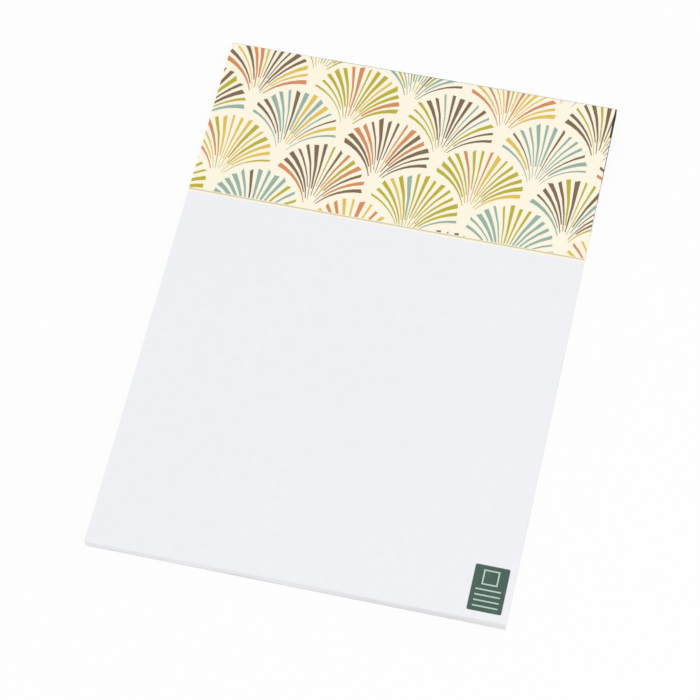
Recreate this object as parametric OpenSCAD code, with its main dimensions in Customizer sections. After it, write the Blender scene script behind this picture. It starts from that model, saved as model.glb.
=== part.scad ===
// A tear-off notepad that lies flat on a desk.
// A block of equal sheets stands on a backing card, and a film of padding glue
// along the top edge holds them. The top sheet carries a printed header of ribbed
// fans and a small printed patch in the lower right corner.
// X runs along the sheet's width, Y towards the glued edge and Z up. The origin
// is at the middle of the pad's underside.

/* [Pad] */
// Width of a sheet
sheet_w = 148; // [100:1:220]
// Length of a sheet, from its free edge to its glued edge
sheet_h = 210; // [140:1:300]
// Number of sheets in the block
sheet_count = 50; // [20:5:120]
// Thickness of one sheet
sheet_t = 0.09; // [0.07:0.005:0.12]
// Thickness of the backing card
card_t = 0.35; // [0.25:0.05:1.5]
// Thickness of the glue film over the pad's top edge
glue_t = 0.25; // [0.15:0.05:0.6]
// Radius of the glue film's two long outer edges
glue_edge_r = 0.12; // [0.05:0.01:0.14]

/* [Header print] */
// Height of the printed header, from the glued edge down
header_h = 66.7; // [40:0.1:90]
// Thickness of one printed field
ink_t = 0.06; // [0.03:0.01:0.1]
// Width of the hairline along the foot of the header
hairline_w = 0.5; // [0.2:0.05:1]
// Plain strip of the header's ground below the hairline
hairline_margin = 0.8; // [0.1:0.05:1.5]
// Plain strip between the hairline and the lowest ribs
hairline_gap = 0.3; // [0.1:0.05:1]

/* [Header fans] */
// Number of fans across the sheet
fans_across = 4; // [3:0.5:6]
// Number of printed ribs in one fan
fan_ribs = 15; // [9:2:17]
// Turn of the rows of fans
fan_tilt = -9; // [-20:1:20]
// Sideways shift of the pattern, in fan widths
fan_shift = 0.2; // [-0.5:0.05:0.5]
// Height of the lowest row's circle centres above the header's foot, in fan radii
fan_foot = 0.45; // [-0.5:0.05:1]
// Plain channel between a fan's rim and the fans around it
fan_channel = 1.2; // [0.8:0.1:2]
// Share of the rib spacing that the thinnest rib fills
rib_fill_min = 0.22; // [0.2:0.02:0.5]
// Share of the rib spacing that the widest rib fills
rib_fill_max = 0.6; // [0.5:0.02:0.84]
// Where the long ribs start, as a share of the way from the fan's foot to its rim
rib_start = 0.3; // [0.2:0.05:0.5]

/* [Corner patch] */
// Width of the printed patch
patch_w = 12; // [8:0.5:20]
// Height of the printed patch
patch_h = 17; // [14:0.5:24]
// Radius of the patch's corners
patch_corner_r = 0.6; // [0.2:0.1:2]
// Distance from the patch to the sheet's right edge
patch_side_margin = 2.3; // [1:0.1:10]
// Distance from the patch to the sheet's free edge
patch_foot_margin = 2.9; // [1:0.1:10]
// Margin from the patch's edge to its pale marks
mark_margin = 1.6; // [1:0.1:2.5]
// Side of the open pale square in the patch
mark_square = 5.6; // [3:0.1:6]
// Width of the pale lines
mark_line = 0.5; // [0.3:0.05:0.8]
// Number of pale rules below the square
mark_rules = 4; // [2:1:5]

/* [Hidden] */

block_t = sheet_count * sheet_t;
pad_t = card_t + block_t;
// The sheets sit half the film's thickness off centre, so the whole pad is centred
sheet_foot_y = -(sheet_h + glue_t) / 2;
sheet_head_y = sheet_foot_y + sheet_h;
header_foot_y = sheet_head_y - header_h;
ground_z = pad_t;
ribs_z = ground_z + ink_t;

// The circles of the fan pattern: neighbours in a row touch, and rows are one radius apart.
// More rows lie below and above the header, so the turned pattern still covers it.
fan_r = sheet_w / fans_across / 2;
spare_rows = 1 + ceil(sheet_w / 2 * sin(abs(fan_tilt)) / fan_r);
first_row = -spare_rows;
last_row = ceil(header_h / fan_r) + spare_rows;
fan_columns = ceil(fans_across) + 4;
// Turn of the outermost rib's circle: at 45 degrees it runs along the next fan's rim
fan_half_spread = 43.5;
// Turn of a curved rib that one straight piece of its outline may cover
rib_facet_turn = 14;
// Extra start of every second rib, and how much starts and ends vary, as shares of a rib
short_rib_start = 0.12;
start_scatter = 0.06;
end_scatter = 0.035;
end_slant = 0.026;
// A rib that is straighter than this is drawn straight
straight_spread = 0.5;
// More than the number of ribs, columns or rows, so that no two ribs share a seed
seed_step = 40;

// Inks of the fans, by number
BROWN = 0;
OLIVE = 1;
TEAL = 2;
CORAL = 3;
MUSTARD = 4;
ink_colors = ["#837056", "#bcb03c", "#94b5a8", "#de8f61", "#e6c85c"];
// Each kind of fan has a main ink, and two that a few of its ribs take
fan_kinds = [
    [OLIVE, TEAL, MUSTARD], [OLIVE, CORAL, MUSTARD], [TEAL, OLIVE, BROWN], [BROWN, TEAL, OLIVE],
    [MUSTARD, CORAL, OLIVE], [TEAL, BROWN, MUSTARD], [BROWN, OLIVE, CORAL], [BROWN, CORAL, MUSTARD]
];
main_ink_share = 0.64;
second_ink_share = 0.86;

arc_fn = 48;

// Sub-parts

module page_block() {
    color("#f0eff4")
        translate([-sheet_w / 2, sheet_foot_y, card_t])
            cube([sheet_w, sheet_h, block_t]);
}

module backing_card() {
    color("#d9d9d6")
        translate([-sheet_w / 2, sheet_foot_y, 0])
            cube([sheet_w, sheet_h, card_t]);
}

// The film covers the edges of the sheets and the card, and its outer edges are round
module glue_binding() {
    color("#e6e3da")
        translate([-sheet_w / 2, sheet_head_y, 0])
            rotate([90, 0, 90])
                linear_extrude(sheet_w)
                    glue_section();
}

module glue_section() {
    square([glue_t - glue_edge_r, pad_t]);
    translate([0, glue_edge_r])
        square([glue_t, pad_t - 2 * glue_edge_r]);
    for (z = [glue_edge_r, pad_t - glue_edge_r])
        translate([glue_t - glue_edge_r, z])
            circle(r = glue_edge_r, $fn = arc_fn);
}

// Printed header

module header_ground() {
    color("#fbf4e2")
        translate([0, 0, ground_z])
            linear_extrude(ink_t)
                header_area();
}

module header_area() {
    translate([-sheet_w / 2, header_foot_y])
        square([sheet_w, header_h]);
}

module header_hairline() {
    color("#cfc6a4")
        translate([-sheet_w / 2, header_foot_y + hairline_margin, ribs_z])
            cube([sheet_w, hairline_w, ink_t]);
}

// The part of the header above the hairline, which the fans fill
module fan_area() {
    plain_foot = hairline_margin + hairline_w + hairline_gap;
    translate([-sheet_w / 2, header_foot_y + plain_foot])
        square([sheet_w, header_h - plain_foot]);
}

// All ribs of one ink
module fan_ribs(ink) {
    color(ink_colors[ink])
        translate([0, 0, ribs_z])
            linear_extrude(ink_t)
                intersection() {
                    fan_area();
                    fan_pattern(ink);
                }
}

module fan_pattern(ink) {
    for (row = [first_row : last_row], column = [0 : fan_columns], rib = [0 : fan_ribs - 1])
        if (rib_ink(row, column, rib) == ink) {
            outline = rib_outline(row, column, rib);
            if (meets_header(outline))
                polygon(outline);
        }
}

// A number from 0 to 1 that differs from rib to rib and stays the same from run to run
function scatter(row, column, rib, use) =
    let (seed = use + seed_step * (rib + seed_step * (column + seed_step * (row + seed_step))))
    rands(0, 1, 1, seed)[0];

// Along a row every second kind follows, and the rows take the odd and the even kinds by turns
function fan_kind(row, column) =
    let (count = len(fan_kinds))
    fan_kinds[(2 * column + row + floor(row / 2) + seed_step * count) % count];

function rib_ink(row, column, rib) =
    let (kind = fan_kind(row, column), draw = scatter(row, column, rib, 0))
    draw < main_ink_share ? kind[0] : draw < second_ink_share ? kind[1] : kind[2];

// The middle of a fan's circle, before the rows are turned
function fan_center(row, column) = [
    (column - fan_columns / 2 + (row % 2 == 0 ? 0 : 0.5) + fan_shift) * 2 * fan_r,
    header_foot_y + (fan_foot + row) * fan_r
];

// A point at the share "way" from the fan's foot to its rim, on the rib line of turn "spread".
// Every rib line leaves the foot upright and follows a circle, so it reaches the rim at twice
// its spread from the fan's middle.
function fan_point(spread, way) =
    abs(spread) < straight_spread
        ? [fan_r * 2 * spread * PI / 180 * way * way, fan_r * (2 * way - 1)]
        : let (line_r = fan_r / tan(spread), turn = 2 * spread * way)
          [line_r * (1 - cos(turn)), line_r * sin(turn) - fan_r];

// The length of a rib line from foot to rim
function rib_length(spread) =
    abs(spread) < straight_spread ? 2 * fan_r : fan_r / tan(abs(spread)) * 2 * abs(spread) * PI / 180;

// One rib's outline: up its left side and down its right side
function rib_outline(row, column, rib) =
    let (pitch = 2 * fan_half_spread / fan_ribs)
    let (spread = pitch * (rib + 0.5) - fan_half_spread)
    let (fill = rib_fill_min + (rib_fill_max - rib_fill_min) * scatter(row, column, rib, 1))
    let (half = pitch * fill / 2)
    let (start = rib_start + short_rib_start * (rib % 2) + start_scatter * scatter(row, column, rib, 2))
    let (finish = 1 - fan_channel / rib_length(spread) - end_scatter * scatter(row, column, rib, 3))
    let (slant = end_slant * (scatter(row, column, rib, 4) - 0.5))
    let (pieces = max(2, ceil(2 * abs(spread) / rib_facet_turn)))
    let (center = fan_center(row, column))
    [
        for (i = [0 : pieces])
            on_header(center + fan_point(spread - half, start + (finish + slant - start) * i / pieces)),
        for (i = [pieces : -1 : 0])
            on_header(center + fan_point(spread + half, start + (finish - slant - start) * i / pieces))
    ];

// Turns a point about the middle of the header's foot
function on_header(point) =
    let (pivot = [0, header_foot_y])
    let (p = point - pivot)
    pivot + [p.x * cos(fan_tilt) - p.y * sin(fan_tilt), p.x * sin(fan_tilt) + p.y * cos(fan_tilt)];

function meets_header(outline) =
    let (xs = [for (p = outline) p.x], ys = [for (p = outline) p.y])
    max(xs) > -sheet_w / 2 && min(xs) < sheet_w / 2
        && max(ys) > header_foot_y && min(ys) < sheet_head_y;

// Printed corner patch

patch_x = sheet_w / 2 - patch_side_margin - patch_w;
patch_y = sheet_foot_y + patch_foot_margin;

module corner_patch() {
    color("#4e6a5e")
        translate([patch_x, patch_y, ground_z])
            linear_extrude(ink_t)
                rounded_rectangle(patch_w, patch_h, patch_corner_r);
}

module rounded_rectangle(w, h, r) {
    translate([r, 0])
        square([w - 2 * r, h]);
    translate([0, r])
        square([w, h - 2 * r]);
    for (x = [r, w - r], y = [r, h - r])
        translate([x, y])
            circle(r = r, $fn = arc_fn);
}

// A pale open square in the upper part of the patch, and pale rules below it
module corner_patch_marks() {
    square_y = patch_h - mark_margin - mark_square;
    rule_pitch = (square_y - mark_margin) / mark_rules;
    color("#c4d6cb")
        translate([patch_x, patch_y, ribs_z])
            linear_extrude(ink_t) {
                translate([(patch_w - mark_square) / 2, square_y])
                    difference() {
                        square(mark_square);
                        translate([mark_line, mark_line])
                            square(mark_square - 2 * mark_line);
                    }
                for (rule = [0 : mark_rules - 1])
                    translate([mark_margin, mark_margin + rule * rule_pitch])
                        square([patch_w - 2 * mark_margin, mark_line]);
            }
}

page_block();
backing_card();
glue_binding();
header_ground();
header_hairline();
fan_ribs(BROWN);  // fan_ribs_brown
fan_ribs(OLIVE);  // fan_ribs_olive
fan_ribs(TEAL);  // fan_ribs_teal
fan_ribs(CORAL);  // fan_ribs_coral
fan_ribs(MUSTARD);  // fan_ribs_mustard
corner_patch();
corner_patch_marks();
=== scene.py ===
# The looks of a tear-off notepad that lies flat on a white table.
# The block of pages becomes a stack of single sheets whose edges show, the card gets
# crushed cut edges, and the glue on the top edge becomes an uneven film. The printed
# fields keep the shapes of the frame. Every piece gets the finish of its material.

import math
from typing import NamedTuple

import bpy
import numpy as np
from mathutils import Color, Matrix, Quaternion, Vector


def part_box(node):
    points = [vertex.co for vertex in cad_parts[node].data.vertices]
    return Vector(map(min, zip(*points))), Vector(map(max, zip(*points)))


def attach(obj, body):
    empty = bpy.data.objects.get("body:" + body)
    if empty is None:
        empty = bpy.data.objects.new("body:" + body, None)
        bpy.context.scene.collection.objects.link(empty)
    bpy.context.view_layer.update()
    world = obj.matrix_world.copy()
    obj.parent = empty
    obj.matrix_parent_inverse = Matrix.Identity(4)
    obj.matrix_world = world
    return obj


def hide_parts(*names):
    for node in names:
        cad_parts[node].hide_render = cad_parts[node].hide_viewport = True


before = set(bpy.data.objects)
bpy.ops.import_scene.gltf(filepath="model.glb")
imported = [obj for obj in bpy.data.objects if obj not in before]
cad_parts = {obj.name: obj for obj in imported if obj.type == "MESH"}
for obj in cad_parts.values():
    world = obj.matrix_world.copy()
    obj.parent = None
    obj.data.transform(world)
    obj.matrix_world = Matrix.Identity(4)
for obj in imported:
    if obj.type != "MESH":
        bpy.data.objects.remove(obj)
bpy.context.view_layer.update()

MM = 0.001


class Grain(NamedTuple):
    """Noise in a material: lumps about size metres across, stretched along the axes."""

    size: float
    detail: float = 2
    stretch: tuple = (1, 1, 1)


# Corners of the pad's pieces, read from the frame
BLOCK_LOW, BLOCK_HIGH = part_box("page_block")
CARD_LOW, CARD_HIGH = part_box("backing_card")
GLUE_LOW, GLUE_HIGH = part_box("glue_binding")
HEADER_FOOT_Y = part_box("header_ground")[0].y
PATCH_LEFT_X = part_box("corner_patch")[0].x
SHEET_LENGTH = BLOCK_HIGH.y - BLOCK_LOW.y

# Points around a sheet or the card: how far apart they lie, how near two may come, and how
# near to an edge counts as on it
STATION_STEP = 3 * MM
SHORTEST_STEP = 0.15 * MM
ON_EDGE = 0.01 * MM

# The stack of sheets
SHEET_COUNT = 50
# Share of the pitch that paper fills; the gap to the next sheet fills the rest
PAPER_SHARE = 0.93
# How deep the gap between two sheets is, and how much deeper for each metre that it gapes
GAP_DEPTH = 0.04 * MM
GAPE_DEPTH_SHARE = 10
# How far a sheet's cut edge waves in, and how many waves there are around a sheet or the card
EDGE_WAVE = 0.015 * MM
EDGE_WAVE_TURNS = (5, 11, 17, 29, 41)
# How far the stack's top dips at the free edge: at the left corner and along the middle.
# It rises back before the patch, so the patch lies on the paper.
CORNER_DIP = 0.95 * MM
CORNER_DIP_WIDTH = 80 * MM
MIDDLE_DIP = 0.45 * MM
PATCH_RISE_WIDTH = 18 * MM
PATCH_CLEARANCE = 2 * MM
# How far the lowest sheet stays back behind the top sheet at the free edge
FREE_EDGE_RETREAT = 0.12 * MM
# Bundles of sheets that slid a little: first sheet, slide along x, slide along y, in mm.
# Each sheet strays from its bundle by up to the noise. A slide is whole at the free edge
# and fades towards the glue by the power.
BUNDLES = ((0, 0.05, 0.02), (9, -0.06, 0.06), (21, 0.03, 0.01), (34, -0.02, 0.04), (44, 0.0, 0.0))
SLIDE_NOISE = 0.012
SLIDE_POWER = 1.2
# Gapes between sheets at the free edge: sheet above, middle, half length, opening, in mm.
# They close this far back from the edge.
GAPES = ((2, -18, 15, 0.52), (31, -8, 16, 0.10), (14, 48, 26, 0.14), (8, -66, 16, 0.05))
GAPE_REACH = 20 * MM
RANDOM_SEED = 7

# Painted shade on the free edge: how dark it is at the card and at the top, and its share of
# that at places along x, in mm. On all sides each sheet is darker by up to the noise, and with
# a higher power fewer sheets are much darker.
FREE_EDGE_PAINTED_SHADES = (0.20, 0.07)
FREE_EDGE_PLACES = (0, 25)
FREE_EDGE_SHARES = (0.15, 1.0)
SHEET_TONE_NOISE = 0.08
SHEET_TONE_POWER = 3

# Print that runs off the sheets shows on their cut edges, on some sheets more than on others
EDGE_PRINT_SHARES = (0.86, 1.0)
# Towards the glue it turns dark from a place along y, partly dark print and partly painted
# shade of the side, all the way on the right side and by a share on the left. The dark comes
# in bands that stray to both sides of that place.
DARKENING_PLACE = 68 * MM
DARKENING_SOFTNESS = 3 * MM
DARK_BANDS = Grain(1.6 * MM, detail=1, stretch=(40, 1, 40))
DARK_BAND_REACH = 18 * MM
LEFT_DARKENING = 0.3
# A thin strip of the same dark, partly print and partly painted shade of the right side, lies on
# the header's right margin, above a place along y. Its inner edge wavers a little.
STRIP_WIDTH = 0.55 * MM
STRIP_PLACE = 92.2 * MM
STRIP_SOFTNESS = 0.05 * MM
STRIP_WAVER = 0.05 * MM
STRIP_WAVES = Grain(1.2 * MM, detail=3)
# The print shows through the glue film by a share, and as dark as its light says. Along the
# film's upper rim the print is darkened nearly to black as painted shade, and shows most, by
# shares at places along x, in mm.
FILM_PRINT_SHARE = 0.28
FILM_PRINT_LIGHT = 0.6
RIM_PLACES = (-44, -32, 40, 74)
RIM_SHADE_SHARES = (0.3, 1.0, 0.95, 0.5)
RIM_SHADE_LIGHT = 0.05

# The backing card's cut edge: shares of the card's thickness, and how far back it lies there,
# in mm
CARD_EDGE = ((0.0, 0.03), (0.12, 0.01), (0.5, 0.0), (0.85, 0.02), (1.0, 0.06))
CARD_EDGE_WAVE = 0.03 * MM

# The glue film: its step along x, its section's points, the radius of its outer edges as a
# share of its thickness, and how far its outer face sinks in
FILM_STEP = 1.5 * MM
FILM_ARC_POINTS = 7
FILM_FACE_POINTS = 22
FILM_RADIUS_SHARE = 0.45
FILM_UNEVENNESS = 0.045 * MM
# Waves of the film's outer face, each as radians a metre along x and along z
FILM_WAVES = ((190, 300), (433, -700), (977, 900), (60, 2100))

# Colours, as they look on a screen
PAPER = (241, 242, 246)
PAPER_EDGE = (244, 244, 246)
EDGE_SHADE = (195, 195, 198)
# Dark print with painted shade, on the header's right side
DARK_PRINT_AND_SHADE = (48, 50, 42)
CARD = (231, 231, 232)
GLUE = (214, 211, 200)
CREAM = (254, 247, 227)
INKS = {
    "header_hairline": (214, 206, 178),
    "fan_ribs_brown": (128, 106, 79),
    "fan_ribs_olive": (189, 177, 57),
    "fan_ribs_teal": (151, 180, 168),
    "fan_ribs_coral": (214, 143, 95),
    "fan_ribs_mustard": (226, 195, 92),
    "corner_patch": (73, 97, 87),
    "corner_patch_marks": (190, 212, 200),
}

# Shares of its colour between which a material varies. An ink varies by its mottle both ways.
PAPER_SHADES = (0.985, 1.01)
EDGE_SHADES = (0.98, 1)
CARD_SHADES = (0.95, 1.03)
GLUE_SHADES = (0.9, 1.06)
CREAM_MOTTLE = 0.012
INK_MOTTLE = 0.05
# How far broad areas of the paper turn to its darker shade
AREA_SHARE = 0.5

# Most noise lies in the noise range. Pinholes and fibres begin where noise passes the first
# value of their range, and are at their fullest, the speck share, from the second.
NOISE_RANGE = (0.3, 0.7)
PINHOLE_RANGE = (0.68, 0.78)
FIBRE_RANGE = (0.62, 0.74)
SPECK_SHARE = 0.5

# Grain of the materials
PAPER_FELT = Grain(0.25 * MM, detail=3)
PAPER_FIBRES = Grain(0.5 * MM, stretch=(2.4, 0.6, 1))
PAPER_CLOUDS = Grain(4 * MM, detail=4)
PAPER_AREAS = Grain(60 * MM, detail=1)
EDGE_FUZZ = Grain(0.35 * MM, detail=3, stretch=(1, 1, 0.4))
INK_CLOUDS = Grain(2.5 * MM, detail=5)
INK_PINHOLES = Grain(0.3 * MM)
INK_SHEEN = Grain(6 * MM)
CARD_PULP = Grain(3 * MM, detail=5)
CARD_FELT = Grain(0.3 * MM, detail=4)
GLUE_STREAKS = Grain(1.2 * MM, detail=4, stretch=(14, 1, 0.5))
GLUE_RIDGES = Grain(0.12 * MM, detail=1, stretch=(60, 1, 0.7))
GLUE_SHEEN = Grain(2 * MM)
# The card's darker and lighter fibres: their grain, and their share of the card's colour
CARD_FIBRES = (
    (Grain(0.7 * MM, detail=3, stretch=(3, 0.5, 1)), 0.72),
    (Grain(0.8 * MM, detail=3, stretch=(0.5, 2.6, 1)), 1.12),
)

# How deep the grain's relief is
PAPER_RELIEF = 0.004 * MM
EDGE_RELIEF = 0.02 * MM
CARD_RELIEF = 0.01 * MM
STREAK_RELIEF = 0.03 * MM
RIDGE_RELIEF = 0.02 * MM

# Roughness of the ink and the glue, at its least and at its most
INK_ROUGHNESS = (0.74, 0.86)
GLUE_ROUGHNESS = (0.3, 0.46)

# The table, how far it reaches each way and how far it lies below the pad, and the light
TABLE_COLOR = (0.9, 0.9, 0.9, 1)
TABLE_GLOW = 0.9
TABLE_REACH = 4.0
TABLE_DEPTH = 0.02 * MM
WHITE = (1, 1, 1, 1)
SURROUND_LIGHT = 0.90
KEY_WATTS = 5.8
KEY_SIZE = 1.4
KEY_PLACE = Vector((1.2, -0.8, 1.3))

# The camera: where it aims on the top sheet, and how it stands and turns, in metres and degrees
AIM = Vector((-0.803 * MM, -14.15 * MM, BLOCK_HIGH.z))
CAMERA_DISTANCE = 0.93409
CAMERA_AZIMUTH = 16.443
CAMERA_ELEVATION = 62.37
CAMERA_ROLL = -3.985
CLIP_START = 0.05
CLIP_END = 20
LENS_MM = 134.864
SENSOR_MM = 36

random = np.random.default_rng(RANDOM_SEED)


def linear(screen):
    """A screen colour from 0 to 255 as the linear colour that shaders take."""
    return tuple(Color([c / 255 for c in screen]).from_srgb_to_scene_linear())


def shade(color, share):
    """A linear colour, darker or lighter by this share."""
    return tuple(min(1.0, c * share) for c in color)


def smooth_step(value):
    """0 below 0, 1 above 1, and a smooth rise between them."""
    t = np.clip(value, 0, 1)
    return t * t * (3 - 2 * t)


def add_object(name, data):
    """A new object in the scene."""
    added = bpy.data.objects.new(name, data)
    bpy.context.scene.collection.objects.link(added)
    return added


# Material helpers


class Shader:
    """A new material with a Principled shader, and short ways to add nodes to it."""

    def __init__(self, name, roughness, specular):
        self.material = bpy.data.materials.new(name)
        self.material.use_nodes = True
        self.tree = self.material.node_tree
        self.tree.nodes.clear()
        self.output = self.tree.nodes.new("ShaderNodeOutputMaterial")
        self.principled = self.tree.nodes.new("ShaderNodeBsdfPrincipled")
        self.principled.inputs["Roughness"].default_value = roughness
        self.principled.inputs["Specular IOR Level"].default_value = specular
        self.link(self.principled.outputs["BSDF"], self.output.inputs["Surface"])
        self.place = self.tree.nodes.new("ShaderNodeTexCoord").outputs["Object"]

    def link(self, source, target):
        """Joins an output to an input."""
        self.tree.links.new(source, target)

    def noise(self, grain):
        """Noise with this grain."""
        mapping = self.tree.nodes.new("ShaderNodeMapping")
        mapping.inputs["Scale"].default_value = [1 / (grain.size * s) for s in grain.stretch]
        self.link(self.place, mapping.inputs["Vector"])
        noise = self.tree.nodes.new("ShaderNodeTexNoise")
        noise.inputs["Scale"].default_value = 1.0
        noise.inputs["Detail"].default_value = grain.detail
        self.link(mapping.outputs["Vector"], noise.inputs["Vector"])
        return noise.outputs["Fac"]

    def spread(self, value, low, high, start=NOISE_RANGE[0], end=NOISE_RANGE[1]):
        """Maps a value between start and end to the range from low to high."""
        node = self.tree.nodes.new("ShaderNodeMapRange")
        node.inputs["From Min"].default_value = start
        node.inputs["From Max"].default_value = end
        node.inputs["To Min"].default_value = low
        node.inputs["To Max"].default_value = high
        self.link(value, node.inputs["Value"])
        return node.outputs["Result"]

    def clouds(self, grain):
        """Noise with this grain, from 0 to 1."""
        return self.spread(self.noise(grain), 0, 1)

    def specks(self, grain, start, end):
        """Specks where noise with this grain passes start, at their fullest from end."""
        return self.spread(self.noise(grain), 0, SPECK_SHARE, start=start, end=end)

    def rise(self, value, place, softness):
        """0 where a value lies below a place, 1 above it, and a rise this soft between them."""
        return self.spread(value, 0.0, 1.0, start=place - softness, end=place + softness)

    def mix(self, factor, first, second, blend="MIX"):
        """Mixes two colours, each an output or a linear colour, by an output or a number."""
        node = self.tree.nodes.new("ShaderNodeMix")
        node.data_type = "RGBA"
        node.blend_type = blend
        for socket, value in (("Factor", factor), ("A", first), ("B", second)):
            kind = "VALUE" if socket == "Factor" else "RGBA"
            target = next(i for i in node.inputs if i.name == socket and i.type == kind)
            if isinstance(value, bpy.types.NodeSocket):
                self.link(value, target)
            elif socket == "Factor":
                target.default_value = value
            else:
                target.default_value = (*value, 1)
        return next(o for o in node.outputs if o.type == "RGBA")

    def mottled(self, factor, color, low, high):
        """A linear colour that varies between two shares of itself."""
        return self.mix(factor, shade(color, low), shade(color, high))

    def along(self, axis):
        """The place along an axis, in metres."""
        node = self.tree.nodes.new("ShaderNodeSeparateXYZ")
        self.link(self.place, node.inputs["Vector"])
        return node.outputs[axis]

    def combined(self, operation, first, second):
        """Two values joined by an operation such as ADD or MULTIPLY."""
        node = self.tree.nodes.new("ShaderNodeMath")
        node.operation = operation
        self.link(first, node.inputs[0])
        self.link(second, node.inputs[1])
        return node.outputs["Value"]

    def attribute(self, name, output):
        """What the mesh's faces store under a name."""
        node = self.tree.nodes.new("ShaderNodeAttribute")
        node.attribute_name = name
        return node.outputs[output]

    def bump(self, height, distance, strength, below=None):
        """A normal with relief, added to the normal below it."""
        node = self.tree.nodes.new("ShaderNodeBump")
        node.inputs["Distance"].default_value = distance
        node.inputs["Strength"].default_value = strength
        self.link(height, node.inputs["Height"])
        if below is not None:
            self.link(below, node.inputs["Normal"])
        return node.outputs["Normal"]

    def finish(self, color, normal, roughness=None):
        """The material with this colour, normal and roughness."""
        self.link(color, self.principled.inputs["Base Color"])
        self.link(normal, self.principled.inputs["Normal"])
        if roughness is not None:
            self.link(roughness, self.principled.inputs["Roughness"])
        return self.material


def paper_grain(shader):
    """The fine felt of uncoated paper, as a normal."""
    felt = shader.noise(PAPER_FELT)
    coarse = shader.bump(shader.noise(PAPER_FIBRES), PAPER_RELIEF, strength=0.5)
    return shader.bump(felt, PAPER_RELIEF, strength=0.6, below=coarse)


# Materials


def paper_material():
    """White uncoated paper with faint clouds, and broad areas that are a little darker."""
    shader = Shader("page_paper", roughness=0.9, specular=0.25)
    base = linear(PAPER)
    color = shader.mottled(shader.clouds(PAPER_CLOUDS), base, *PAPER_SHADES)
    darker = shader.mix(AREA_SHARE, color, shade(base, PAPER_SHADES[0]))
    color = shader.mix(shader.clouds(PAPER_AREAS), color, darker)
    return shader.finish(color, paper_grain(shader))


def edge_darkness(shader):
    """How far the sheets' cut edges turn to dark print and painted shade towards the glue, from 0 to
    1.
    """
    rightwards = shader.spread(
        shader.along("X"), LEFT_DARKENING, 1.0, start=BLOCK_LOW.x, end=BLOCK_HIGH.x,
    )
    strays = shader.spread(shader.noise(DARK_BANDS), -DARK_BAND_REACH, DARK_BAND_REACH)
    strayed = shader.combined("ADD", shader.along("Y"), strays)
    gluewards = shader.rise(strayed, DARKENING_PLACE, DARKENING_SOFTNESS)
    return shader.combined("MULTIPLY", rightwards, gluewards)


def page_edge_material():
    """Cut sheet edges: white paper, a tone of its own for each sheet, bleed-off print and painted
    shade.
    """
    shader = Shader("page_edges", roughness=0.95, specular=0.15)
    fuzz = shader.clouds(EDGE_FUZZ)
    color = shader.mottled(fuzz, linear(PAPER_EDGE), *EDGE_SHADES)
    darkness = edge_darkness(shader)
    # Towards the glue the print turns to dark print and painted shade
    ink = shader.mix(darkness, shader.attribute("print_and_shade_color", "Color"), linear(DARK_PRINT_AND_SHADE))
    color = shader.mix(shader.attribute("print_and_shade_share", "Fac"), color, ink)
    # The tone holds each sheet's own tone, and painted shade on the free edge
    tone = shader.attribute("sheet_tone_and_shade", "Fac")
    color = shader.mix(tone, color, linear(EDGE_SHADE), blend="MULTIPLY")
    return shader.finish(color, shader.bump(fuzz, EDGE_RELIEF, strength=0.5))


def margin_strip(shader):
    """1 on the strip of dark print and painted shade along the header's right margin, and 0 elsewhere.
    """
    waver = shader.spread(shader.noise(STRIP_WAVES), -STRIP_WAVER, STRIP_WAVER)
    wavering = shader.combined("ADD", shader.along("X"), waver)
    rightwards = shader.rise(wavering, BLOCK_HIGH.x - STRIP_WIDTH, STRIP_SOFTNESS)
    gluewards = shader.rise(shader.along("Y"), STRIP_PLACE, STRIP_SOFTNESS)
    return shader.combined("MULTIPLY", rightwards, gluewards)


def ink_material(name, screen, mottle):
    """Offset ink on uncoated paper: an even field with faint clouds and small pale pinholes."""
    shader = Shader(name, roughness=np.mean(INK_ROUGHNESS), specular=0.3)
    color = shader.mottled(shader.clouds(INK_CLOUDS), linear(screen), 1 - mottle, 1 + mottle)
    color = shader.mix(shader.specks(INK_PINHOLES, *PINHOLE_RANGE), color, linear(CREAM))
    # The strip on the right margin, dark print and painted shade
    color = shader.mix(margin_strip(shader), color, linear(DARK_PRINT_AND_SHADE))
    sheen = shader.spread(shader.noise(INK_SHEEN), *INK_ROUGHNESS)
    return shader.finish(color, paper_grain(shader), sheen)


def card_material():
    """Thin grey card: a mottled pulp with short darker and lighter fibres."""
    shader = Shader("grey_card", roughness=0.9, specular=0.25)
    base = linear(CARD)
    color = shader.mottled(shader.clouds(CARD_PULP), base, *CARD_SHADES)
    for grain, share in CARD_FIBRES:
        color = shader.mix(shader.specks(grain, *FIBRE_RANGE), color, shade(base, share))
    return shader.finish(color, shader.bump(shader.noise(CARD_FELT), CARD_RELIEF, strength=0.7))


def glue_material():
    """Dried padding glue: a milky film with brush streaks, and the sheet edges faint below it."""
    shader = Shader("padding_glue", roughness=np.mean(GLUE_ROUGHNESS), specular=0.5)
    streaks = shader.clouds(GLUE_STREAKS)
    color = shader.mottled(streaks, linear(GLUE), *GLUE_SHADES)
    # The print seen through the film, with painted shade along its upper rim
    share, ink = shader.attribute("print_and_shade_share", "Fac"), shader.attribute("print_and_shade_color", "Color")
    color = shader.mix(share, color, ink)
    ridges = shader.bump(shader.noise(GLUE_RIDGES), RIDGE_RELIEF, strength=0.5)
    relief = shader.bump(streaks, STREAK_RELIEF, strength=0.6, below=ridges)
    sheen = shader.spread(shader.noise(GLUE_SHEEN), *GLUE_ROUGHNESS)
    return shader.finish(color, relief, sheen)


# Print that runs off the sheets' edges, with painted shade


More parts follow.
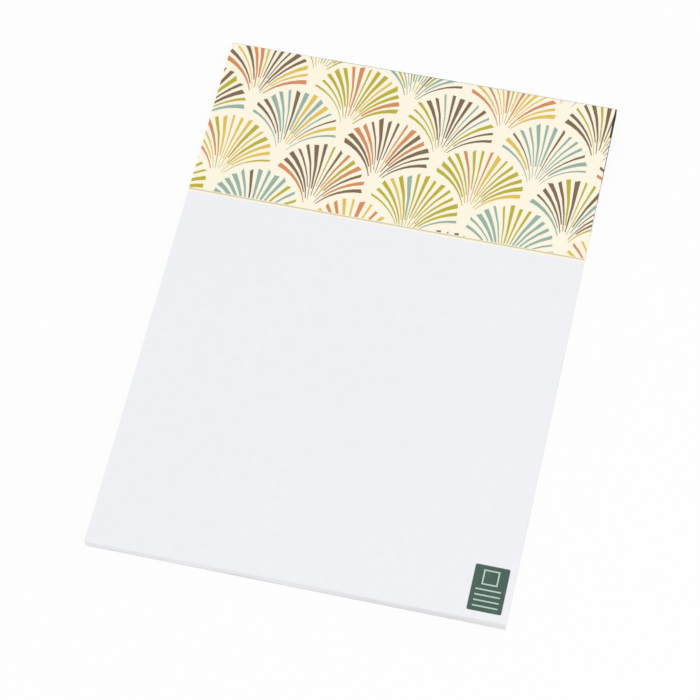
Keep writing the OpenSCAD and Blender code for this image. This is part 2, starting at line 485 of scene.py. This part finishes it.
def ink_runs(side, value):
    """Where printed ribs meet a cut edge: a list of (start, end, ink) along that edge.

    side is 0 for an edge at x = value, and 1 for an edge at y = value."""
    along = 1 - side
    runs = []
    for node in sorted(INKS):
        if not node.startswith("fan_ribs"):
            continue
        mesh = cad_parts[node].data
        on_edge = [abs(v.co[side] - value) < ON_EDGE for v in mesh.vertices]
        for polygon in mesh.polygons:
            if all(on_edge[i] for i in polygon.vertices):
                places = [mesh.vertices[i].co[along] for i in polygon.vertices]
                runs.append((min(places), max(places), node))
    return joined(sorted(runs))


def joined(runs):
    """Runs of one ink that touch, as one run each."""
    result = []
    for start, end, ink in runs:
        if result and result[-1][2] == ink and start <= result[-1][1] + ON_EDGE:
            result[-1] = (result[-1][0], max(end, result[-1][1]), ink)
        else:
            result.append((start, end, ink))
    return [run for run in result if run[1] - run[0] > SHORTEST_STEP]


def ink_at(runs, place):
    """The ink of the run at a place on an edge of the header, or its plain ground."""
    return next((ink for start, end, ink in runs if start < place < end), "header_ground")


def edge_ink(start, end, left_runs, right_runs):
    """What is printed along this stretch of the sheets' edges, and None off the header."""
    x, y = (start + end) / 2
    if y < HEADER_FOOT_Y:
        return None
    if abs(x - BLOCK_LOW.x) < ON_EDGE:
        return ink_at(left_runs, y)
    if abs(x - BLOCK_HIGH.x) < ON_EDGE:
        return ink_at(right_runs, y)
    return "header_ground"


def sheet_print(ink, share):
    """The share of print on a sheet's cut edge, and its linear colour."""
    if ink is None:
        return 0.0, (1, 1, 1)
    return share, linear(INKS.get(ink, CREAM))


def film_print_and_shade(ink, x, on_rim):
    """The share of print that shows through the glue film at x, and its linear colour: painted shade
    on the rim.
    """
    color = linear(INKS.get(ink, CREAM))
    if on_rim:
        # On the rim: painted shade, the print darkened nearly to black
        return np.interp(x / MM, RIM_PLACES, RIM_SHADE_SHARES), shade(color, RIM_SHADE_LIGHT)
    return FILM_PRINT_SHARE, shade(color, FILM_PRINT_LIGHT)


def paint_faces(mesh, tones, prints):
    """Stores each face's tone and print, with the painted shade they carry; faces past the lists' end
    get none.
    """
    tone = np.zeros(len(mesh.polygons))
    share = np.zeros(len(mesh.polygons))
    color = np.ones((len(mesh.polygons), 4))
    tone[:len(tones)] = tones
    share[:len(prints)] = [p[0] for p in prints]
    color[:len(prints), :3] = [p[1] for p in prints]
    for name, kind, field, values in (
        ("sheet_tone_and_shade", "FLOAT", "value", tone),
        ("print_and_shade_share", "FLOAT", "value", share),
        ("print_and_shade_color", "FLOAT_COLOR", "color", color),
    ):
        mesh.attributes.new(name, kind, "FACE").data.foreach_set(field, values.ravel())


# Closed blocks built of rings


def stations(low, high, step, marks=()):
    """Places from low to high, about a step apart, and one at each mark.

    An even place is left out where another lies within a third of a step of it."""
    even = np.linspace(low, high, round((high - low) / step) + 1)
    places = [low, high]
    for place in sorted(marks):
        if min(abs(place - p) for p in places) > SHORTEST_STEP:
            places.append(place)
    for place in even:
        if min(abs(place - p) for p in places) > step / 3:
            places.append(place)
    return np.array(sorted(places))


class Grid:
    """The stations of a sheet along x and y, and the points of its outline."""

    def __init__(self, low, high, marks=()):
        self.xs = stations(low.x, high.x, STATION_STEP)
        self.ys = stations(low.y, high.y, STATION_STEP, marks)
        last_x, last_y = len(self.xs) - 1, len(self.ys) - 1
        left = [(0, j) for j in range(last_y, 0, -1)]
        free = [(i, 0) for i in range(last_x)]
        right = [(last_x, j) for j in range(last_y)]
        glued = [(i, last_y) for i in range(last_x, 0, -1)]
        self.loop = left + free + right + glued
        self.points = np.array([(self.xs[i], self.ys[j]) for i, j in self.loop])
        # 1 on the right side, -1 on the left side and 0 elsewhere
        self.side = np.array([float(i == last_x) - float(i == 0) for i, _ in self.loop])
        self.on_free_edge = np.array([float(j == 0) for _, j in self.loop])
        self.below_glue = np.array([float(j < last_y) for _, j in self.loop])

    def moved_in(self, from_sides, from_free_edge):
        """The outline, moved in from the sides and the free edge. The glued edge stays."""
        points = self.points.copy()
        points[:, 0] -= self.side * np.maximum(from_sides, 0) * self.below_glue
        points[:, 1] += self.on_free_edge * np.maximum(from_free_edge, 0)
        return points


def wave_along(count):
    """A smooth wave with values from 0 to 1 along a closed loop."""
    angle = np.linspace(0, 2 * math.pi, count, endpoint=False)
    wave = sum(np.sin(k * angle + random.uniform(0, 2 * math.pi)) / k for k in EDGE_WAVE_TURNS)
    return (wave - wave.min()) / np.ptp(wave)


def ringed_block(name, grid, rings, bottom_height, top_height):
    """A closed block: bands between rings from the bottom up, and then a cap at each end."""
    vertices = [tuple(point) for ring in rings for point in ring]
    count = len(grid.loop)
    faces = []
    for r in range(len(rings) - 1):
        for n in range(count):
            after = (n + 1) % count
            lower, upper = r * count, (r + 1) * count
            faces.append((lower + n, lower + after, upper + after, upper + n))
    bottom = cap(vertices, 0, grid, bottom_height)
    top = cap(vertices, (len(rings) - 1) * count, grid, top_height)
    faces += cap_faces(bottom, upwards=False) + cap_faces(top, upwards=True)
    mesh = bpy.data.meshes.new(name)
    mesh.from_pydata([tuple(map(float, v)) for v in vertices], [], [tuple(map(int, f)) for f in faces])
    return mesh


def cap(vertices, first, grid, height):
    """The vertex numbers of an end face: its rim is a ring, and the rest is added here."""
    index = np.full((len(grid.xs), len(grid.ys)), -1)
    for number, (i, j) in enumerate(grid.loop):
        index[i, j] = first + number
    for i in range(1, len(grid.xs) - 1):
        for j in range(1, len(grid.ys) - 1):
            index[i, j] = len(vertices)
            vertices.append((grid.xs[i], grid.ys[j], height(grid.xs[i], grid.ys[j])))
    return index


def cap_faces(index, upwards):
    """Quads over a table of vertex numbers, facing up or down."""
    faces = []
    for i in range(index.shape[0] - 1):
        for j in range(index.shape[1] - 1):
            quad = [index[i, j], index[i + 1, j], index[i + 1, j + 1], index[i, j + 1]]
            faces.append(quad if upwards else quad[::-1])
    return faces


def place_piece(mesh, node):
    """Puts a mesh into the scene in place of a node of the frame."""
    mesh.update()
    piece = add_object(mesh.name, mesh)
    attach(piece, "root")
    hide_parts(node)


# The stack of sheets


def dip(x, y):
    """How far the stack's top lies below its nominal height."""
    corner = smooth_step((BLOCK_LOW.x + CORNER_DIP_WIDTH - x) / CORNER_DIP_WIDTH)
    before_patch = smooth_step((PATCH_LEFT_X - PATCH_CLEARANCE - x) / PATCH_RISE_WIDTH)
    down = smooth_step((HEADER_FOOT_Y - y) / (HEADER_FOOT_Y - BLOCK_LOW.y))
    return down * (MIDDLE_DIP * before_patch + (CORNER_DIP - MIDDLE_DIP) * corner)


def gape_openings(x, y):
    """The opening of each gape at a place: one row per gape."""
    near_edge = smooth_step(1 - (y - BLOCK_LOW.y) / GAPE_REACH)
    return np.array([
        opening * MM * smooth_step(1 - np.abs(x - middle * MM) / (half * MM)) * near_edge
        for _, middle, half, opening in GAPES
    ])


def sheet_slides():
    """The slide of each sheet along x and y, in metres, with none for the top sheet."""
    slides = np.zeros((SHEET_COUNT, 2))
    for first, slide_x, slide_y in BUNDLES:
        slides[first:] = (slide_x, slide_y)
    slides += SLIDE_NOISE * random.uniform(-1, 1, slides.shape)
    slides[-1] = 0
    return slides * MM


def sheet_outline(grid, sheet, slide, depth, waves):
    """The outline of one sheet, or of the gap above it, which lies deeper in the stack."""
    freedom = ((BLOCK_HIGH.y - grid.points[:, 1]) / SHEET_LENGTH) ** SLIDE_POWER
    retreat = FREE_EDGE_RETREAT * (1 - sheet / (SHEET_COUNT - 1))
    from_sides = freedom * np.maximum(-grid.side * slide[0], 0) + depth + EDGE_WAVE * waves
    from_free_edge = retreat + np.maximum(slide[1], 0) + depth + EDGE_WAVE * waves
    return grid.moved_in(from_sides, from_free_edge)


def sheet_rings(grid):
    """The rings of the stack from the bottom up, and the sheet that each belongs to."""
    block = BLOCK_HIGH.z - BLOCK_LOW.z - dip(grid.points[:, 0], grid.points[:, 1])
    openings = gape_openings(grid.points[:, 0], grid.points[:, 1])
    pitch = (block - openings.sum(0)) / SHEET_COUNT
    slides = sheet_slides()
    rings, owners = [], []

    def level(sheet, share):
        """The height of a share of a sheet's pitch, with the gapes below it opened."""
        opened = sum(openings[n] for n, g in enumerate(GAPES) if g[0] <= sheet)
        return BLOCK_LOW.z + pitch * (sheet + share) + opened

    def add_ring(points, heights, sheet):
        """Adds a ring of points, and its owner."""
        rings.append(np.column_stack([points, heights]))
        owners.append(sheet)

    for sheet in range(SHEET_COUNT):
        is_top = sheet == SHEET_COUNT - 1
        waves = wave_along(len(grid.loop))
        edge = sheet_outline(grid, sheet, slides[sheet], 0, waves)
        add_ring(edge, level(sheet, 0), sheet)
        add_ring(edge, level(sheet, 1 if is_top else PAPER_SHARE), sheet)
        if not is_top:
            gaping = sum(openings[n] for n, g in enumerate(GAPES) if g[0] == sheet + 1)
            depth = GAP_DEPTH + GAPE_DEPTH_SHARE * gaping
            gap = sheet_outline(grid, sheet, slides[sheet], depth, waves)
            add_ring(gap, (level(sheet, PAPER_SHARE) + level(sheet + 1, 0)) / 2, sheet)
    return rings, owners


def painted_edge_shade(start, end, sheet):
    """Painted shade on a sheet's free edge between two points of its outline: how dark it is."""
    if max(start[1], end[1]) > BLOCK_LOW.y + ON_EDGE:
        return 0.0
    at_card, at_top = FREE_EDGE_PAINTED_SHADES
    tone = at_card + (at_top - at_card) * sheet / (SHEET_COUNT - 1)
    return tone * np.interp(start[0] / MM, FREE_EDGE_PLACES, FREE_EDGE_SHARES)


def finish_sheets(mesh, grid, owners, left_runs, right_runs):
    """Gives the stack its materials, and each face of the cut edges its tone, painted shade and print.
    """
    own_tones = SHEET_TONE_NOISE * random.uniform(0, 1, SHEET_COUNT) ** SHEET_TONE_POWER
    own_prints = random.uniform(*EDGE_PRINT_SHARES, SHEET_COUNT)
    count = len(grid.loop)
    tones, prints = [], []
    # A band of faces belongs to the same sheet as the ring below it
    for owner in owners[:-1]:
        for n in range(count):
            start, end = grid.points[n], grid.points[(n + 1) % count]
            # Each sheet's own tone, and on the free edge painted shade
            tones.append(own_tones[owner] + painted_edge_shade(start, end, owner))
            ink = edge_ink(start, end, left_runs, right_runs)
            prints.append(sheet_print(ink, own_prints[owner]))
    mesh.materials.append(paper_material())
    mesh.materials.append(page_edge_material())
    # The cut edges' faces come first, and then those of the bottom and the top
    for polygon in mesh.polygons:
        polygon.material_index = 1 if polygon.index < len(tones) else 0
    paint_faces(mesh, tones, prints)


def sheet_stack():
    """The block of pages as one closed mesh in which every sheet's edge shows."""
    left_runs, right_runs = ink_runs(0, BLOCK_LOW.x), ink_runs(0, BLOCK_HIGH.x)
    marks = [place for run in left_runs + right_runs for place in run[:2]] + [HEADER_FOOT_Y]
    grid = Grid(BLOCK_LOW, BLOCK_HIGH, marks)
    rings, owners = sheet_rings(grid)
    mesh = ringed_block(
        "sheet_stack", grid, rings,
        bottom_height=lambda x, y: BLOCK_LOW.z,
        top_height=lambda x, y: BLOCK_HIGH.z - dip(x, y),
    )
    finish_sheets(mesh, grid, owners, left_runs, right_runs)
    place_piece(mesh, "page_block")


# The backing card


def card_sheet():
    """The backing card with crushed, slightly ragged cut edges."""
    grid = Grid(CARD_LOW, CARD_HIGH)
    waves = CARD_EDGE_WAVE * wave_along(len(grid.loop))
    rings = []
    for share, back in CARD_EDGE:
        points = grid.moved_in(back * MM + waves, back * MM + waves)
        heights = np.full(len(grid.loop), CARD_LOW.z + share * (CARD_HIGH.z - CARD_LOW.z))
        rings.append(np.column_stack([points, heights]))
    mesh = ringed_block(
        "card_sheet", grid, rings,
        bottom_height=lambda x, y: CARD_LOW.z,
        top_height=lambda x, y: CARD_HIGH.z,
    )
    mesh.materials.append(card_material())
    place_piece(mesh, "backing_card")


# The glue film


def film_section(thickness, height, radius):
    """Points of the film's section as (y, z), from its lower inner edge round to the upper one."""
    points = [(0.0, 0.0)]
    for n in range(FILM_ARC_POINTS):
        turn = math.pi / 2 * n / (FILM_ARC_POINTS - 1)
        points.append((thickness - radius * (1 - math.sin(turn)), radius * (1 - math.cos(turn))))
    for n in range(1, FILM_FACE_POINTS):
        points.append((thickness, radius + (height - 2 * radius) * n / FILM_FACE_POINTS))
    for n in range(FILM_ARC_POINTS):
        turn = math.pi / 2 * n / (FILM_ARC_POINTS - 1)
        y, z = thickness - radius * (1 - math.cos(turn)), height - radius * (1 - math.sin(turn))
        points.append((y, z))
    points.append((0.0, height))
    return points


def glue_film():
    """The padding glue as a closed film whose outer face is slightly uneven."""
    runs = ink_runs(1, BLOCK_HIGH.y)
    marks = [place for run in runs for place in run[:2]]
    xs = stations(GLUE_LOW.x, GLUE_HIGH.x, FILM_STEP, marks)
    thickness, height = GLUE_HIGH.y - GLUE_LOW.y, GLUE_HIGH.z - GLUE_LOW.z
    section = film_section(thickness, height, FILM_RADIUS_SHARE * thickness)
    phases = random.uniform(0, 2 * math.pi, len(FILM_WAVES))
    vertices, faces, prints = [], [], []
    for x in xs:
        for y, z in section:
            wave = sum(math.sin(a * x + b * z + p) for (a, b), p in zip(FILM_WAVES, phases))
            share = (wave + len(FILM_WAVES)) / (2 * len(FILM_WAVES))
            thinner = FILM_UNEVENNESS * share * y / thickness
            vertices.append((x, GLUE_LOW.y + y - thinner, GLUE_LOW.z + z))
    size = len(section)
    rim_start = size - FILM_ARC_POINTS - 1
    for i in range(len(xs) - 1):
        x = (xs[i] + xs[i + 1]) / 2
        ink = ink_at(runs, x)
        for j in range(size):
            k = (j + 1) % size
            faces.append((i * size + j, i * size + k, (i + 1) * size + k, (i + 1) * size + j))
            prints.append(film_print_and_shade(ink, x, on_rim=j >= rim_start))
    faces.append(tuple(range(size))[::-1])
    faces.append(tuple(range((len(xs) - 1) * size, len(xs) * size)))
    mesh = bpy.data.meshes.new("glue_film")
    mesh.from_pydata(vertices, [], faces)
    mesh.materials.append(glue_material())
    paint_faces(mesh, [], prints)
    place_piece(mesh, "glue_binding")


# The print, which keeps its frame shapes


def dress(node, material):
    """Puts one material on all of a frame node."""
    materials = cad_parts[node].data.materials
    materials.clear()
    materials.append(material)


def dress_print():
    """Puts each printed node into its ink."""
    dress("header_ground", ink_material("cream_print", CREAM, CREAM_MOTTLE))
    for node, screen in INKS.items():
        dress(node, ink_material(node + "_print", screen, INK_MOTTLE))


# The stage, the light and the camera


def seen_directly(tree):
    """1 for rays that show the background itself, straight or in a reflection, and 0 for light."""
    path = tree.nodes.new("ShaderNodeLightPath")
    total = path.outputs["Is Camera Ray"]
    for name in ("Is Glossy Ray", "Is Transmission Ray"):
        larger = tree.nodes.new("ShaderNodeMath")
        larger.operation = "MAXIMUM"
        tree.links.new(total, larger.inputs[0])
        tree.links.new(path.outputs[name], larger.inputs[1])
        total = larger.outputs[0]
    return total


def table_material():
    """A white surface that glows for the camera, so it looks white and keeps a faint shadow."""
    material = bpy.data.materials.new("white_table")
    material.use_nodes = True
    tree = material.node_tree
    tree.nodes.clear()
    output = tree.nodes.new("ShaderNodeOutputMaterial")
    diffuse = tree.nodes.new("ShaderNodeBsdfDiffuse")
    diffuse.inputs["Color"].default_value = TABLE_COLOR
    glow = tree.nodes.new("ShaderNodeEmission")
    glow.inputs["Color"].default_value = WHITE
    share = tree.nodes.new("ShaderNodeMath")
    share.operation = "MULTIPLY"
    share.inputs[1].default_value = TABLE_GLOW
    mixed = tree.nodes.new("ShaderNodeMixShader")
    tree.links.new(seen_directly(tree), share.inputs[0])
    tree.links.new(share.outputs[0], mixed.inputs["Fac"])
    tree.links.new(diffuse.outputs["BSDF"], mixed.inputs[1])
    tree.links.new(glow.outputs["Emission"], mixed.inputs[2])
    tree.links.new(mixed.outputs["Shader"], output.inputs["Surface"])
    return material


def white_table():
    """A wide table top just below the pad."""
    mesh = bpy.data.meshes.new("table_top")
    signs = ((-1, -1), (1, -1), (1, 1), (-1, 1))
    corners = [(x * TABLE_REACH, y * TABLE_REACH, -TABLE_DEPTH) for x, y in signs]
    mesh.from_pydata(corners, [], [(0, 1, 2, 3)])
    mesh.materials.append(table_material())
    add_object("table_top", mesh)


def surround():
    """A world that looks white and gives a soft, even light."""
    world = bpy.data.worlds.new("surround")
    bpy.context.scene.world = world
    world.use_nodes = True
    tree = world.node_tree
    tree.nodes.clear()
    output = tree.nodes.new("ShaderNodeOutputWorld")
    background = tree.nodes.new("ShaderNodeBackground")
    background.inputs["Color"].default_value = WHITE
    strength = tree.nodes.new("ShaderNodeMapRange")
    strength.inputs["To Min"].default_value = SURROUND_LIGHT
    strength.inputs["To Max"].default_value = 1.0
    tree.links.new(seen_directly(tree), strength.inputs["Value"])
    tree.links.new(strength.outputs["Result"], background.inputs["Strength"])
    tree.links.new(background.outputs["Background"], output.inputs["Surface"])


def key_light():
    """A large soft lamp above the pad's right side."""
    data = bpy.data.lights.new("key", "AREA")
    data.energy = KEY_WATTS
    data.size = KEY_SIZE
    lamp = add_object("key", data)
    lamp.location = KEY_PLACE
    lamp.rotation_mode = "QUATERNION"
    lamp.rotation_quaternion = (-KEY_PLACE).to_track_quat("-Z", "Y")


def camera():
    """A camera that sees the pad from the photo's angle."""
    data = bpy.data.cameras.new("camera")
    data.lens = LENS_MM
    data.sensor_width = SENSOR_MM
    data.clip_start = CLIP_START
    data.clip_end = CLIP_END
    turn, rise = math.radians(CAMERA_AZIMUTH), math.radians(CAMERA_ELEVATION)
    back = Vector((math.sin(turn) * math.cos(rise), -math.cos(turn) * math.cos(rise), math.sin(rise)))
    view = add_object("camera", data)
    view.location = AIM + back * CAMERA_DISTANCE
    view.rotation_mode = "QUATERNION"
    roll = Quaternion((0, 0, 1), math.radians(CAMERA_ROLL))
    view.rotation_quaternion = (-back).to_track_quat("-Z", "Y") @ roll
    bpy.context.scene.camera = view


camera()
surround()
key_light()
white_table()
dress_print()
sheet_stack()
card_sheet()
glue_film()
bpy.context.scene.view_settings.view_transform = "Standard"
